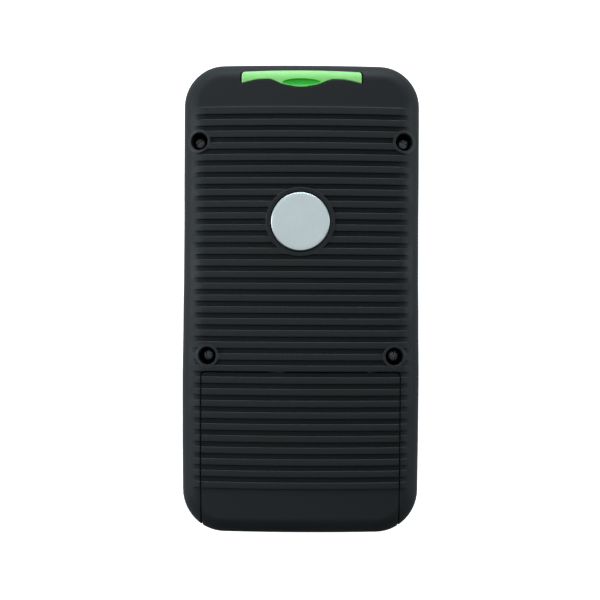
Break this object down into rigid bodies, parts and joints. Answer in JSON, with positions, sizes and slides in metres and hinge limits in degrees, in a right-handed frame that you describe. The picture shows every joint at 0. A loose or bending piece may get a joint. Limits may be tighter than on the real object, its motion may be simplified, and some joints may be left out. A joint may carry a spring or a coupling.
{
  "type": "stud finder",
  "caption": "Flat battery-powered wall scanner with a black ribbed crowned back, a silver holding disc, a slide-off battery door and a green push button.",
  "frame": {"origin": "middle of the flat sensing face, on the plane that the part lies on", "axes": "+Z out of the ribbed back, +Y towards the green button's end, +X to the right when the ribbed back is seen with the button at the top"},
  "size_m": [0.0824, 0.1622, 0.026],
  "materials": {
    "case_plastic": "soft-touch black, fine texture",
    "button_plastic": "satin green",
    "disc_metal": "satin",
    "adhesive": "foam tape",
    "dark_plastic": "moulded",
    "light_plastic": "moulded",
    "cell_jacket": "printed steel can, no lettering",
    "plated_metal": "nickel plated",
    "screw_steel": "zinc plated",
    "can_aluminium": "satin",
    "board": "solder mask",
    "chip": "moulded epoxy",
    "wire_red": "insulation",
    "wire_black": "insulation"
  },
  "bodies": {
    "case": {"front_shell": "case_plastic", "rear_shell": "case_plastic", "tact_switch_body": "dark_plastic", "magnet_disc": "disc_metal", "disc_adhesive_pad": "adhesive", "battery_tray": "dark_plastic", "battery_cell_1": "cell_jacket", "battery_cell_2": "cell_jacket", "battery_cell_3": "cell_jacket", "battery_cell_4": "cell_jacket", "battery_spring_1": "plated_metal", "battery_spring_2": "plated_metal", "battery_spring_3": "plated_metal", "battery_spring_4": "plated_metal", "contact_bridge_low_left": "plated_metal", "contact_bridge_low_right": "plated_metal", "contact_bridge_high": "plated_metal", "terminal_negative": "plated_metal", "terminal_positive": "plated_metal", "wire_black": "wire_black", "wire_red": "wire_red", "battery_connector": "light_plastic", "main_board": "board", "antenna_board": "board", "board_link_connector": "dark_plastic", "rf_shield_can": "plated_metal", "radar_chip": "chip", "processor_chip": "chip", "radio_module": "plated_metal", "memory_chip": "chip", "crystal": "plated_metal", "power_inductor": "chip", "electrolytic_capacitor": "can_aluminium", "board_screw_1": "screw_steel", "board_screw_2": "screw_steel", "board_screw_3": "screw_steel", "board_screw_4": "screw_steel", "case_screw_1": "screw_steel", "case_screw_2": "screw_steel", "case_screw_3": "screw_steel", "case_screw_4": "screw_steel"},
    "door": {"battery_door": "case_plastic"},
    "button": {"power_button": "button_plastic", "switch_plunger": "light_plastic"}
  },
  "joints": [
    {"name": "door_slide", "type": "slide", "parent": "case", "child": "door", "axis": [0, -1, 0], "range_m": [0, 0.062]},
    {"name": "button_press", "type": "slide", "parent": "case", "child": "button", "axis": [0, 0, -1], "range_m": [0, 0.0005], "stiffness_N_per_m": 2000, "springref_m": -0.0002}
  ]
}
